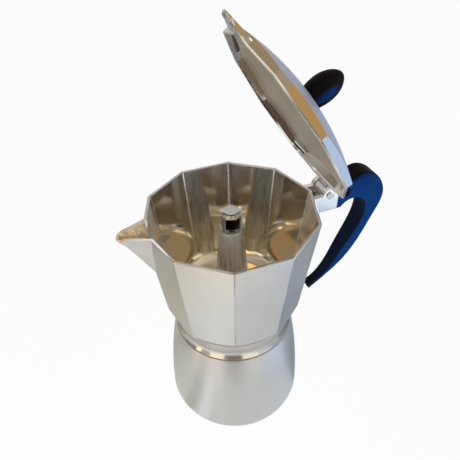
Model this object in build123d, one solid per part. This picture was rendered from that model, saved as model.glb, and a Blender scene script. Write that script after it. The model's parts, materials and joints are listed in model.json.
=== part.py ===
from build123d import *

import os
from math import asin, cos, pi, sin, sqrt, tan

# Stove-top coffee pot, millimetres, +Z up. The origin is the centre of the flat base,
# the handle is towards +X and the spout towards -X. The lid is drawn open.

# Boiler
BOILER_HEIGHT = 82.3
BASE_R = 43.0
BELLY_R = 51.2
BELLY_Z = 12.0
WAIST_R = 43.2
BOILER_BULGE = 1.5
BOILER_WALL = 2.6
BOILER_FLOOR = 3.0
NECK_R = 36.0
NECK_WALL = 3.5
NECK_HEIGHT = 11.5

# Jug
SIDES = 10
RIM_R = 56.0
FACET_FOOT_R = 47.5
FACET_FOOT_HEIGHT = 23.4
JUG_HEIGHT = 97.8
JUG_WALL = 1.9
BAND_R = 42.4
BAND_EDGE = 0.5
BAND_HEIGHT = 3.5
BAND_SLANT = 2.1
COLLAR_R = 44.7
FLOOR_THICK = 4.0
BOWL_CORNER_R = 13.0
BREW_DOME_HEIGHT = 2.0
BREW_DOME_R = 27.0

# Spout
SPOUT_REACH = 14.9
SPOUT_ROOT_HALF_WIDTH = 11.0
SPOUT_NOSE_R = 4.6
SPOUT_DEPTH = 36.0
SPOUT_WAIST = 0.4
SPOUT_FLARE = 2.4
SPOUT_FLARE_DEPTH = 8.0
SPOUT_DROOP = 4.6
SPOUT_DROOP_LENGTH = 8.5

# Column and its cap
COLUMN_FOOT_R = 13.2
COLUMN_TOP_R = 7.5
COLUMN_BORE_R = 4.5
COLUMN_HEIGHT = 62.7
SPIGOT_R = 8.0
CAP_R = 6.7
CAP_WALL = 1.0
CAP_HEIGHT = 14.1
CAP_TOP_R = 4.8
CAP_TOP_THICK = 0.9
CAP_SHOULDER_DROP = 1.5
CAP_CRIMP_HEIGHT = 2.1
CAP_BEAD = 0.6
NIB_REACH = 7.0
NIB_HALF_WIDTH = 1.7
NIB_TURN = -15.0
WINDOW_WIDTH = 8.9
WINDOW_HEIGHT = 9.2
WINDOW_TURN = -8.0

# Coffee funnel, gasket and filter
FLANGE_R = 34.4
FLANGE_THICK = 1.2
FUNNEL_WALL = 1.0
CUP_DEPTH = 24.0
FUNNEL_CONE_HEIGHT = 9.0
STEM_R = 5.2
STEM_FLOOR_GAP = 4.5
SCREEN_THICK = 0.8
SCREEN_LEDGE = 2.0
GASKET_THICK = 3.0
GASKET_BORE_R = 27.0
FILTER_THICK = 1.0
FILTER_HOLE_R = 1.0
FILTER_RINGS = 5
FILTER_RING_STEP = 4.8

# Hinge between jug and lid
HINGE_OUT = 8.5
HINGE_DROP = 0.9
LUG_HALF_WIDTH = 8.5
LUG_HEIGHT = 13.0
LUG_LENGTH = 14.6
EAR_THICK = 3.3
EAR_R = 4.8
PIN_R = 1.6
PIN_HEAD_R = 2.5
PIN_HEAD_THICK = 0.9
KNUCKLE_R = 4.2
OPEN_ANGLE = 59.3

# Lid
LID_R = 57.0
LID_WALL = 1.8
LID_DOME_WALL = 1.2
LID_DRAFT = 10.0
LID_EDGE_HEIGHT = 4.0
LID_CROWN_HEIGHT = 16.0
LID_WEB = 9.0
BEAK_WALL = 1.45
BEAK_REACH = 11.2
BEAK_HALF_WIDTH = 11.2
BEAK_NOSE_R = 4.6
BEAK_TIP_HEIGHT = 1.9
BEAK_ROOT_HEIGHT = 5.2
BEAK_MOUTH_WIDTH = 7.0

# Knob
KNOB_R = 8.3
KNOB_HEIGHT = 21.8
KNOB_BELLY_HEIGHT = 8.0
KNOB_FOOT_R = 7.2
KNOB_TIP_PULL = 0.46
KNOB_COLLAR_R = 9.2
KNOB_COLLAR_THICK = 1.4
KNOB_SCREW_R = 2.0
KNOB_SCREW_DEPTH = 9.0
SCREW_HEAD_R = 3.8
SCREW_HEAD_THICK = 2.2
WASHER_R = 6.0
WASHER_THICK = 1.0

# Handle
HANDLE_REACH = 51.6
HANDLE_RISE = 9.2
HANDLE_DROP = 92.4
HANDLE_WIDTH = 16.0
HANDLE_MIDDLE_WIDTH = 12.4
HANDLE_TIP_WIDTH = 8.0
HANDLE_THICK = 13.0
HANDLE_TIP_THICK = 5.0
ARM_THICK = 14.0
GAP_RISE = 4.3
GAP_CORNER = 5.0
HANDLE_BACK_ROUND = 3.4
HANDLE_INNER_ROUND = 1.3
# Side view of the handle: shares of its reach past the rim, and of its rise above or drop below it
HANDLE_TOP_PLACES = [(0.415, 0.4), (0.52, 0.86), (0.637, 1.04), (0.77, 0.82), (0.9, 0.2)]
HANDLE_BACK_PLACES = [(1, 0.11), (0.93, 0.29), (0.796, 0.515), (0.589, 0.74), (0.343, 0.8885)]
HANDLE_TIP_PLACE = (0.12, 1)
GRIP_HIGH_PLACE = (0.647, 0.447)
GRIP_MIDDLE_PLACE = (0.502, 0.626)
GRIP_LOW_PLACE = (0.314, 0.836)
GRIP_TOP_DROP = 0.245
HANDLE_TIP_LEAN = 0.6
TONGUE_LENGTH = 9.0
TONGUE_HALF_WIDTH = 4.4
TONGUE_HEIGHT = 5.0
TONGUE_RISE = 0.6
HANDLE_SCREW_R = 1.8
SCREW_SEAT = 1.5

# Safety valve in the back of the boiler
VALVE_Z = 56.0
VALVE_BOSS_R = 9.0
VALVE_BOSS_PROUD = 2.2
VALVE_TAIL = 1.0
VALVE_SHANK_R = 5.0
VALVE_BORE_R = 1.9
VALVE_HEX = 14.0
VALVE_HEX_THICK = 6.0
VALVE_CHAMBER_R = 3.6
VALVE_SEAT_THICK = 2.6
VALVE_WASHER_THICK = 1.0
VALVE_CAP_THICK = 1.5
VALVE_STEM_R = 1.1
VALVE_STEM_PROUD = 3.2
VALVE_DISC_THICK = 1.4
VALVE_TRAVEL = 1.5
SPRING_WIRE_R = 0.3
SPRING_TURNS = 4

# Clearances
THREAD_GAP = 0.4
SEAT_GAP = 0.3
SEAL_GAP = 0.05
SEAL_SIDE_GAP = 0.3
SLIP_FIT = 0.1
PIN_FIT = 0.04
# How far a cut runs past the face it opens, and the least height of a step
OVERCUT = 1.0
LEAST_STEP = 1.0
LID_GAP = 0.3
SWING_GAP = 0.4
CUP_GAP = 0.6

# Heights and places that follow from the sizes above
FACET_COS = cos(pi / SIDES)
QUARTER = 4 / 3 * (sqrt(2) - 1)
ARC_MIDDLE = 1 - sqrt(0.5)
JUG_FOOT_Z = BOILER_HEIGHT + SEAT_GAP
RIM_Z = JUG_FOOT_Z + JUG_HEIGHT
FACET_FOOT_Z = JUG_FOOT_Z + FACET_FOOT_HEIGHT
NECK_TOP_Z = BOILER_HEIGHT + NECK_HEIGHT
NECK_BORE_R = NECK_R - NECK_WALL
FLANGE_TOP_Z = NECK_TOP_Z + FLANGE_THICK
GASKET_Z = FLANGE_TOP_Z + SEAL_GAP
FILTER_Z = GASKET_Z + GASKET_THICK
JUG_UNDER_Z = FILTER_Z + FILTER_THICK + SEAL_GAP
JUG_FLOOR_Z = JUG_UNDER_Z + FLOOR_THICK
COLUMN_TOP_Z = JUG_FLOOR_Z + COLUMN_HEIGHT
HINGE_X = RIM_R + HINGE_OUT
HINGE_Z = RIM_Z - HINGE_DROP
LUG_END_X = RIM_R + LUG_LENGTH
LUG_LOW_Z = RIM_Z - LUG_HEIGHT
LID_Z = RIM_Z + LID_GAP
CROWN_Z = LID_Z + LID_CROWN_HEIGHT
CUP_R = NECK_BORE_R - CUP_GAP
FACET_SLOPE = (RIM_R - FACET_FOOT_R) / (RIM_Z - FACET_FOOT_Z)


def points_xz(points):
    """Points drawn on the plane through the handle, as (x, z) pairs."""
    return [(x, 0, z) for x, z in points]


def flat_xz(points):
    """A face on the plane through the handle, with straight sides."""
    return make_face(Polyline(*points_xz(points), close=True))


def turned(points):
    """A solid of revolution about the pot's axis, from (radius, z) corners."""
    return revolve(flat_xz(points), Axis.Z)


def disc(radius, z_low, z_high, x=0.0, y=0.0):
    """An upright cylinder between two heights."""
    place = Pos(x, y, (z_low + z_high) / 2)
    return place * Cylinder(radius, z_high - z_low)


def block(x, y, z):
    """A box from three (low, high) pairs."""
    middle = [(low + high) / 2 for low, high in (x, y, z)]
    size = [high - low for low, high in (x, y, z)]
    return Pos(*middle) * Box(*size)


def across(radius, y_low, y_high, x, z):
    """A cylinder that lies along Y."""
    place = Pos(x, (y_low + y_high) / 2, z) * Rot(90, 0, 0)
    return place * Cylinder(radius, y_high - y_low)


def plate_xz(face, half_width):
    """A face on the handle's plane, thickened evenly to both sides."""
    return extrude(face, half_width, dir=(0, 1, 0), both=True)


def polygon(radius, z):
    """The pot's regular outline at one height, with a corner towards the handle."""
    turn = 2 * pi / SIDES
    corners = [(radius * cos(n * turn), radius * sin(n * turn), z) for n in range(SIDES)]
    return make_face(Polyline(*corners, close=True))


def facet_r(z):
    """Corner radius of the jug's faceted outside at a height."""
    return RIM_R - FACET_SLOPE * (RIM_Z - z)


def rim_edge_x(half_width):
    """How far out the jug's rim is beside the spout's corner."""
    return RIM_R - half_width * tan(pi / SIDES)


def opened(shape):
    """Turns a piece of the closed lid to the open position about the hinge pin."""
    return shape.rotate(Axis((HINGE_X, 0, HINGE_Z), (0, 1, 0)), OPEN_ANGLE)


def boiler_side(inset, z_top, r_top):
    """Outline of the bell, from the axis at its floor to its waist, set in by a wall."""
    floor = BOILER_FLOOR if inset else 0.0
    corner = BELLY_R - BASE_R
    base = (BASE_R, floor)
    belly = (BELLY_R - inset, max(BELLY_Z, floor + LEAST_STEP))
    bend = (belly[0] - corner * ARC_MIDDLE, floor + (belly[1] - floor) * ARC_MIDDLE)
    slant = ((belly[0] + r_top) / 2 + BOILER_BULGE, (belly[1] + z_top) / 2)
    top = (r_top, z_top)
    start, low, turn, side, middle, end = points_xz([(0, floor), base, bend, belly, slant, top])
    lower = Line(start, low)
    corner_arc = ThreePointArc(low, turn, side)
    return [lower, corner_arc, ThreePointArc(side, middle, end)]


def boiler():
    """Bell-shaped water chamber with its threaded neck and the valve's boss."""
    neck = points_xz([(WAIST_R, BOILER_HEIGHT), (NECK_R, BOILER_HEIGHT), (NECK_R, NECK_TOP_Z),
                      (0, NECK_TOP_Z), (0, 0)])
    outside = revolve(make_face(boiler_side(0, BOILER_HEIGHT, WAIST_R) + [Polyline(*neck)]), Axis.Z)
    ceiling_z = BOILER_HEIGHT - BOILER_WALL - (WAIST_R - NECK_R) / 2
    ceiling_r = WAIST_R - BOILER_WALL
    mouth = points_xz([(ceiling_r, ceiling_z), (NECK_BORE_R, BOILER_HEIGHT - BOILER_WALL),
                       (NECK_BORE_R, NECK_TOP_Z + OVERCUT), (0, NECK_TOP_Z + OVERCUT), (0, BOILER_FLOOR)])
    edges = boiler_side(BOILER_WALL, ceiling_z, ceiling_r) + [Polyline(*mouth)]
    hollow = revolve(make_face(edges), Axis.Z)
    shell = outside - hollow
    boss = across(VALVE_BOSS_R, valve_inner_y(), valve_face_y(), 0, VALVE_Z)
    hole = across(VALVE_SHANK_R + PIN_FIT, 0, valve_face_y() + OVERCUT, 0, VALVE_Z)
    return shell + boss - hole


def boiler_r(z):
    """Outer radius of the bell's side at a height, on the arc from belly to waist."""
    length = BOILER_HEIGHT - BELLY_Z
    share = (z - BELLY_Z) / length
    return BELLY_R + (WAIST_R - BELLY_R) * share + 4 * BOILER_BULGE * share * (1 - share)


def valve_face_y():
    return boiler_r(VALVE_Z - VALVE_BOSS_R) + VALVE_BOSS_PROUD


def valve_inner_y():
    return boiler_r(VALVE_Z + VALVE_BOSS_R) - BOILER_WALL - VALVE_TAIL


def hexagon_y(width, y_low, y_high):
    """A hexagonal prism along Y at the valve's height."""
    sketch = RegularPolygon(width / 2, 6, major_radius=False)
    return Pos(0, y_high, VALVE_Z) * Rot(90, 0, 0) * extrude(sketch, y_high - y_low)


def valve_seat_y():
    return valve_face_y() + VALVE_WASHER_THICK - VALVE_SEAT_THICK


def valve_end_y():
    return valve_face_y() + VALVE_WASHER_THICK + VALVE_HEX_THICK


def valve_body():
    """Hexagonal brass body that screws into the boss, with its spring chamber."""
    head_y = valve_face_y() + VALVE_WASHER_THICK
    head = hexagon_y(VALVE_HEX, head_y, valve_end_y())
    shank = across(VALVE_SHANK_R, valve_inner_y(), head_y, 0, VALVE_Z)
    chamber = across(VALVE_CHAMBER_R, valve_seat_y(), valve_end_y() + OVERCUT, 0, VALVE_Z)
    bore = across(VALVE_BORE_R, valve_inner_y() - OVERCUT, valve_seat_y() + OVERCUT, 0, VALVE_Z)
    return head + shank - chamber - bore


def valve_washer():
    """Flat sealing washer between the boss and the valve's hexagon."""
    low, high = valve_face_y(), valve_face_y() + VALVE_WASHER_THICK
    ring = across(VALVE_HEX / 2, low, high, 0, VALVE_Z)
    return ring - across(VALVE_SHANK_R + SLIP_FIT, low - OVERCUT, high + OVERCUT, 0, VALVE_Z)


def valve_cap():
    """Ring that closes the chamber and guides the plunger's stem."""
    low, high = valve_end_y() - VALVE_CAP_THICK, valve_end_y()
    ring = across(VALVE_CHAMBER_R, low, high, 0, VALVE_Z)
    return ring - across(VALVE_STEM_R + PIN_FIT, low - OVERCUT, high + OVERCUT, 0, VALVE_Z)


def valve_plunger():
    """Sealing disc on the valve's seat, with a stem that shows outside."""
    seat = valve_seat_y() + SEAL_GAP
    plate = across(VALVE_CHAMBER_R - SEAL_SIDE_GAP, seat, seat + VALVE_DISC_THICK, 0, VALVE_Z)
    stem = across(VALVE_STEM_R, seat, valve_end_y() + VALVE_STEM_PROUD, 0, VALVE_Z)
    return plate + stem


def valve_spring():
    """Coil round the stem, which presses the disc onto its seat."""
    radius = (VALVE_STEM_R + VALVE_CHAMBER_R) / 2
    low = valve_seat_y() + SEAL_GAP + VALVE_DISC_THICK + VALVE_TRAVEL + SLIP_FIT + SPRING_WIRE_R
    high = valve_end_y() - VALVE_CAP_THICK - SPRING_WIRE_R
    height = high - low
    path = Helix(height / SPRING_TURNS, height, radius)
    wire = sweep(Plane(path @ 0, z_dir=path % 0) * Circle(SPRING_WIRE_R), path)
    return Pos(0, high, VALVE_Z) * Rot(90, 0, 0) * wire


def jug_lathe():
    """Turned envelope of the jug: slanted foot band, tapering collar and open above."""
    foot, edge_z, band_top = JUG_FOOT_Z, JUG_FOOT_Z + BAND_EDGE, JUG_FOOT_Z + BAND_HEIGHT
    collar_z = FACET_FOOT_Z - (FACET_FOOT_R - COLLAR_R)
    reach = RIM_R + SPOUT_REACH + SPOUT_FLARE + LUG_LENGTH
    flare_z = FACET_FOOT_Z + reach - FACET_FOOT_R
    return turned([(0, foot), (BAND_R, foot), (BAND_R, edge_z), (BAND_R - BAND_SLANT, band_top),
                   (COLLAR_R, collar_z), (reach, flare_z), (reach, RIM_Z + reach), (0, RIM_Z + reach)])


def spout_outline(inset, drop, flare):
    """Outline of the spout at a drop below the rim: two nearly straight sides and a round nose."""
    share = 1 - drop / SPOUT_DEPTH
    keel_x = facet_r(RIM_Z - SPOUT_DEPTH)
    half, nose_r = share * SPOUT_ROOT_HALF_WIDTH - inset, share * SPOUT_NOSE_R - inset
    nose_x = keel_x + share * (RIM_R + SPOUT_REACH - keel_x) + flare - inset
    root_x = keel_x + share * (rim_edge_x(SPOUT_ROOT_HALF_WIDTH) - keel_x)
    inner_x = keel_x + share * (RIM_R * FACET_COS - 4 * JUG_WALL - keel_x)
    flank_x = nose_x - nose_r
    side = Line((-inner_x, half), (-root_x, half))
    middle = (-(root_x + flank_x) / 2, (half + nose_r) / 2 - share * SPOUT_WAIST)
    flank = ThreePointArc((-root_x, half), middle, (-flank_x, nose_r))
    nose = ThreePointArc((-flank_x, nose_r), (-nose_x, 0), (-flank_x, -nose_r))
    other = [mirror(edge, Plane.XZ) for edge in (side, flank)]
    back = Line((-inner_x, half), (-inner_x, -half))
    return Pos(0, 0, RIM_Z - drop) * make_face([side, flank, nose, *other, back])


def spout(inset):
    """Spout that tapers from its flared lip to a point down the jug's front edge."""
    keel_z = RIM_Z - SPOUT_DEPTH
    slope = SPOUT_DEPTH / sqrt(SPOUT_DEPTH ** 2 + SPOUT_REACH ** 2)
    keel = Vertex(inset / slope - facet_r(keel_z), 0, keel_z)
    mouth, throat = spout_outline(inset, 0, SPOUT_FLARE), spout_outline(inset, SPOUT_FLARE_DEPTH, 0)
    body = loft([mouth, throat], ruled=True) + loft([throat, keel], ruled=True)
    if inset:
        body += extrude(mouth, OVERCUT, dir=(0, 0, 1))
    return body


def spout_droop():
    """Space over the spout's lip, which curves down to its tip."""
    tip_x, tip_z = RIM_R + SPOUT_REACH + SPOUT_FLARE, RIM_Z - SPOUT_DROOP
    start_x = tip_x - SPOUT_DROOP_LENGTH
    bend_r = (SPOUT_DROOP_LENGTH ** 2 + SPOUT_DROOP ** 2) / (2 * SPOUT_DROOP)
    turn = asin(SPOUT_DROOP_LENGTH / bend_r) / 2
    bend = (-start_x - bend_r * sin(turn), 0, RIM_Z - bend_r * (1 - cos(turn)))
    start, tip = (-start_x, 0, RIM_Z), (-tip_x, 0, tip_z)
    past_x, over_z = -tip_x - SPOUT_DROOP, RIM_Z + SPOUT_DROOP
    over = Polyline(tip, (past_x, 0, tip_z), (past_x, 0, over_z), (-start_x, 0, over_z), start)
    return plate_xz(make_face([ThreePointArc(start, bend, tip), over]), SPOUT_ROOT_HALF_WIDTH)


def hinge_lug():
    """Bracket behind the rim: a block with two ears for the pin and a tongue for the handle."""
    root_x = facet_r(LUG_LOW_Z) - JUG_WALL
    body = block((root_x, LUG_END_X), (-LUG_HALF_WIDTH, LUG_HALF_WIDTH), (LUG_LOW_Z, HINGE_Z))
    ears = across(EAR_R, -LUG_HALF_WIDTH, LUG_HALF_WIDTH, HINGE_X, HINGE_Z)
    slope = plate_xz(flat_xz([(HINGE_X + EAR_R, HINGE_Z + EAR_R), (HINGE_X + EAR_R, HINGE_Z),
                              (LUG_END_X, arm_top_z()), (LUG_END_X + OVERCUT, arm_top_z()),
                              (LUG_END_X + OVERCUT, HINGE_Z + EAR_R)]), LUG_HALF_WIDTH + OVERCUT)
    slot_half = LUG_HALF_WIDTH - EAR_THICK
    slot_low = HINGE_Z - KNUCKLE_R - SWING_GAP
    slot = block((root_x, HINGE_X + KNUCKLE_R + SWING_GAP), (-slot_half, slot_half),
                 (slot_low, HINGE_Z + EAR_R + OVERCUT))
    pin_hole = across(PIN_R + PIN_FIT, -LUG_HALF_WIDTH - OVERCUT, LUG_HALF_WIDTH + OVERCUT, HINGE_X, HINGE_Z)
    return body + ears - slope - slot - pin_hole + tongue(0)


def arm_top_z():
    return LUG_LOW_Z + ARM_THICK - EAR_R / 2


def tongue(gap):
    """Bar of the lug that enters the handle."""
    middle = tongue_low_z() + TONGUE_HEIGHT / 2
    half, half_height = TONGUE_HALF_WIDTH + gap, TONGUE_HEIGHT / 2 + gap
    bar = block((LUG_END_X - OVERCUT, LUG_END_X + TONGUE_LENGTH + gap), (-half, half),
                (middle - half_height, middle + half_height))
    screw_hole = disc(HANDLE_SCREW_R + PIN_FIT, LUG_LOW_Z, middle + half_height + OVERCUT, screw_x())
    return bar if gap else bar - screw_hole


def screw_x():
    return LUG_END_X + TONGUE_LENGTH / 2


def jug():
    """Faceted upper pot with its spout, hinge lug, floor and threaded skirt."""
    foot, top = polygon(facet_r(JUG_FOOT_Z), JUG_FOOT_Z), polygon(RIM_R, RIM_Z)
    outside = (loft([foot, top], ruled=True) + spout(0)) & jug_lathe()
    lug = hinge_lug() - loft([foot, top], ruled=True)
    wall = JUG_WALL / FACET_COS
    low, high = JUG_FLOOR_Z - OVERCUT, RIM_Z + OVERCUT
    inside = loft([polygon(facet_r(low) - wall, low), polygon(facet_r(high) - wall, high)], ruled=True)
    chamber = inside & bowl()
    return outside + lug - chamber - spout(JUG_WALL) - spout_droop() - skirt_bore()


def bowl():
    """Round-cornered floor inside the jug, open above."""
    side_r = facet_r(JUG_FLOOR_Z + BOWL_CORNER_R) - JUG_WALL
    floor_r = side_r - BOWL_CORNER_R
    bend = BOWL_CORNER_R * sqrt(0.5)
    corner_z = JUG_FLOOR_Z + BOWL_CORNER_R
    arc = points_xz([(floor_r, JUG_FLOOR_Z), (floor_r + bend, corner_z - bend), (side_r, corner_z)])
    wide = RIM_R + BOWL_CORNER_R
    rest = points_xz([(side_r, corner_z), (wide, RIM_Z), (wide, RIM_Z + OVERCUT), (0, RIM_Z + OVERCUT),
                      (0, JUG_FLOOR_Z), (floor_r, JUG_FLOOR_Z)])
    return revolve(make_face([ThreePointArc(*arc), Polyline(*rest)]), Axis.Z)


def skirt_bore():
    """Bore for the boiler's neck, the gasket's seat, the brew dome and the column's hole."""
    thread = disc(NECK_R + THREAD_GAP, JUG_FOOT_Z - OVERCUT, NECK_TOP_Z + SEAT_GAP)
    seat = disc(FLANGE_R + SEAL_SIDE_GAP, JUG_FOOT_Z - OVERCUT, JUG_UNDER_Z)
    dome_z = JUG_UNDER_Z + BREW_DOME_HEIGHT
    dome = turned([(0, JUG_UNDER_Z - OVERCUT), (BREW_DOME_R, JUG_UNDER_Z - OVERCUT), (BREW_DOME_R, JUG_UNDER_Z),
                   (SPIGOT_R, dome_z), (0, dome_z)])
    hole = disc(SPIGOT_R + PIN_FIT, JUG_UNDER_Z, JUG_FLOOR_Z + OVERCUT)
    return thread + seat + dome + hole


def column():
    """Tapered tube that carries the coffee up, with a spigot below and a cap seat above."""
    spigot_z = JUG_UNDER_Z + BREW_DOME_HEIGHT
    seat_r = CAP_R - CAP_WALL - PIN_FIT
    top = COLUMN_TOP_Z + CAP_CRIMP_HEIGHT - SLIP_FIT
    return turned([(COLUMN_BORE_R, spigot_z), (SPIGOT_R, spigot_z), (SPIGOT_R, JUG_FLOOR_Z),
                   (COLUMN_FOOT_R, JUG_FLOOR_Z), (COLUMN_TOP_R, COLUMN_TOP_Z), (seat_r, COLUMN_TOP_Z),
                   (seat_r, top), (COLUMN_BORE_R, top)])


def column_cap():
    """Thin cap with a crimp ring at its foot, windows in its side and a nibbed plate on top."""
    foot, top = COLUMN_TOP_Z, COLUMN_TOP_Z + CAP_HEIGHT
    plate_z = top - CAP_TOP_THICK
    shoulder_z = plate_z - CAP_SHOULDER_DROP
    inner = CAP_R - CAP_WALL
    crimp, sill = CAP_R + CAP_BEAD, foot + CAP_CRIMP_HEIGHT
    shell = turned([(inner, foot), (crimp, foot), (crimp, sill), (CAP_R, sill), (CAP_R, shoulder_z),
                    (CAP_TOP_R, plate_z), (CAP_TOP_R, top), (0, top), (0, plate_z - CAP_WALL),
                    (CAP_TOP_R - CAP_WALL, plate_z - CAP_WALL), (inner, shoulder_z - CAP_WALL)])
    window = block((-WINDOW_WIDTH / 2, WINDOW_WIDTH / 2), (-2 * CAP_R, 2 * CAP_R),
                   (sill, sill + WINDOW_HEIGHT))
    nib = block((-NIB_REACH, NIB_REACH), (-NIB_HALF_WIDTH, NIB_HALF_WIDTH), (plate_z, top))
    nibs = nib & disc(NIB_REACH, plate_z, top)
    return shell - Rot(0, 0, WINDOW_TURN) * window + Rot(0, 0, NIB_TURN) * nibs


def funnel():
    """Coffee basket with a flange on the neck and a stem that reaches down to the water."""
    wall = FUNNEL_WALL
    cup_z = FLANGE_TOP_Z - CUP_DEPTH
    stem_top = cup_z - FUNNEL_CONE_HEIGHT
    foot = BOILER_FLOOR + STEM_FLOOR_GAP
    ledge_r = CUP_R - wall - SCREEN_LEDGE
    return turned([(STEM_R - wall, foot), (STEM_R, foot), (STEM_R, stem_top), (CUP_R, cup_z),
                   (CUP_R, NECK_TOP_Z), (FLANGE_R, NECK_TOP_Z), (FLANGE_R, FLANGE_TOP_Z),
                   (CUP_R - wall, FLANGE_TOP_Z), (CUP_R - wall, cup_z + wall), (ledge_r, cup_z + wall),
                   (STEM_R - wall, stem_top)])


def hole_places():
    """Ring pattern of the holes in a filter: one in the middle, then six more in each ring."""
    places = [(0, 0)]
    for ring in range(1, FILTER_RINGS + 1):
        count = 6 * ring
        for n in range(count):
            turn = 2 * pi * n / count
            places.append((ring * FILTER_RING_STEP * cos(turn), ring * FILTER_RING_STEP * sin(turn)))
    return places


def perforated(radius, z, thick):
    """A round plate with the filter's hole pattern."""
    holes = Sketch() + [Pos(x, y) * Circle(FILTER_HOLE_R) for x, y in hole_places()]
    return Pos(0, 0, z) * extrude(Circle(radius) - holes, thick)


def funnel_screen():
    """Perforated plate in the bottom of the coffee basket."""
    z = FLANGE_TOP_Z - CUP_DEPTH + FUNNEL_WALL
    return perforated(CUP_R - FUNNEL_WALL - SLIP_FIT, z, SCREEN_THICK)


def gasket():
    """Rubber ring between the coffee basket and the jug."""
    ring = disc(FLANGE_R, GASKET_Z, FILTER_Z)
    return ring - disc(GASKET_BORE_R, GASKET_Z - OVERCUT, FILTER_Z + OVERCUT)


def filter_plate():
    """Perforated plate that the gasket holds against the jug."""
    return perforated(FLANGE_R, FILTER_Z, FILTER_THICK)


def hinge_pin():
    """Headed pin through both ears and the lid's knuckle."""
    half = LUG_HALF_WIDTH
    shaft = across(PIN_R, -half, half, HINGE_X, HINGE_Z)
    heads = [across(PIN_HEAD_R, half, half + PIN_HEAD_THICK, HINGE_X, HINGE_Z),
             across(PIN_HEAD_R, -half - PIN_HEAD_THICK, -half, HINGE_X, HINGE_Z)]
    return shaft + heads


def dome(inset):
    """Shallow round cap of the lid above its lower edge, set in by a wall."""
    rise = LID_CROWN_HEIGHT - LID_EDGE_HEIGHT
    radius = (LID_R ** 2 + rise ** 2) / (2 * rise)
    return Pos(0, 0, CROWN_Z - radius) * Sphere(radius - inset)


def beak_outline(inset):
    """Outline of the lid's beak over the spout, from the lid's middle to its nose."""
    half, nose_r = BEAK_HALF_WIDTH - inset, BEAK_NOSE_R - inset
    root_x = LID_R - BEAK_HALF_WIDTH * tan(pi / SIDES)
    flank_x = LID_R + BEAK_REACH - BEAK_NOSE_R
    inner_x = root_x - BEAK_REACH
    rim = Polyline((-flank_x, nose_r), (-root_x, half), (-inner_x, half), (-inner_x, -half),
                   (-root_x, -half), (-flank_x, -nose_r))
    nose = ThreePointArc((-flank_x, nose_r), (-flank_x - nose_r, 0), (-flank_x, -nose_r))
    return make_face([rim, nose])


def beak_roof(inset):
    """Space under the beak's sloping roof."""
    tip_x, tip_z = LID_R + BEAK_REACH, LID_Z + BEAK_TIP_HEIGHT - inset
    root_x = tip_x - 2 * BEAK_REACH
    root_z = LID_Z + BEAK_ROOT_HEIGHT - inset
    low = LID_Z - OVERCUT
    return plate_xz(flat_xz([(-root_x, low), (-root_x, root_z), (-tip_x, tip_z), (-tip_x, low)]), LID_R)


def lid():
    """Faceted lid with its dome, beak, hinge web and knuckle."""
    prism = extrude(polygon(LID_R, LID_Z), LID_CROWN_HEIGHT)
    beak = extrude(Pos(0, 0, LID_Z) * beak_outline(0), LID_CROWN_HEIGHT) & beak_roof(0)
    inner = extrude(polygon(LID_R - LID_WALL / FACET_COS, LID_Z), LID_CROWN_HEIGHT, taper=LID_DRAFT)
    inner += extrude(polygon(LID_R - LID_WALL / FACET_COS, LID_Z - OVERCUT), OVERCUT)
    web_x = LID_R - LID_WEB
    room = block((-2 * LID_R, web_x), (-LID_R, LID_R), (LID_Z - OVERCUT, CROWN_Z))
    hollow = inner & dome(LID_DOME_WALL) & room
    under_beak = extrude(Pos(0, 0, LID_Z - OVERCUT) * beak_outline(LID_WALL), LID_CROWN_HEIGHT)
    under_beak = under_beak & beak_roof(BEAK_WALL)
    mouth = block((-2 * LID_R, -LID_R), (-BEAK_MOUTH_WIDTH / 2, BEAK_MOUTH_WIDTH / 2),
                  (LID_Z - OVERCUT, LID_Z + BEAK_TIP_HEIGHT)) & beak_roof(BEAK_WALL)
    shell = (prism & dome(0)) + beak - hollow - under_beak - mouth
    return opened(shell + knuckle() - knuckle_bore() - knob_hole())


def knuckle():
    """Barrel on the hinge pin, with the neck that carries the lid."""
    half = LUG_HALF_WIDTH - EAR_THICK - SWING_GAP
    barrel = across(KNUCKLE_R, -half, half, HINGE_X, HINGE_Z)
    neck = block((LID_R - LID_WEB / 2, HINGE_X), (-half, half), (LID_Z, HINGE_Z + KNUCKLE_R))
    return barrel + neck


def knuckle_bore():
    return across(PIN_R + PIN_FIT, -LUG_HALF_WIDTH, LUG_HALF_WIDTH, HINGE_X, HINGE_Z)


def knob_hole():
    return disc(KNOB_SCREW_R + SLIP_FIT, LID_Z, CROWN_Z + OVERCUT)


def knob_seat_z():
    """Flat top of the collar, which beds on the dome's crown."""
    return CROWN_Z + KNOB_COLLAR_THICK


def knob_collar():
    """Dark ring between the dome and the knob, hollowed below to fit the dome."""
    ring = disc(KNOB_COLLAR_R, CROWN_Z - KNOB_COLLAR_THICK, knob_seat_z()) - dome(0)
    return opened(ring - disc(KNOB_SCREW_R + SLIP_FIT, LID_Z, knob_seat_z() + OVERCUT))


def knob():
    """Egg-shaped knob with a blind hole for its screw."""
    foot, belly_z = knob_seat_z(), knob_seat_z() + KNOB_BELLY_HEIGHT
    top = foot + KNOB_HEIGHT
    low, side = (KNOB_FOOT_R, 0, foot), (KNOB_R, 0, belly_z)
    flank = ThreePointArc(low, (KNOB_R - (KNOB_R - KNOB_FOOT_R) / 4, 0, (foot + belly_z) / 2), side)
    pull_z, pull_r = belly_z + QUARTER * (top - belly_z), KNOB_TIP_PULL * KNOB_R
    crown = Bezier(side, (KNOB_R, 0, pull_z), (pull_r, 0, top), (0, 0, top))
    axis = Polyline((0, 0, top), (0, 0, foot), low)
    egg = revolve(make_face([axis, flank, crown]), Axis.Z)
    return opened(egg - disc(KNOB_SCREW_R + SLIP_FIT, foot - OVERCUT, foot + KNOB_SCREW_DEPTH))


def washer_top_z():
    return CROWN_Z - LID_DOME_WALL


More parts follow.
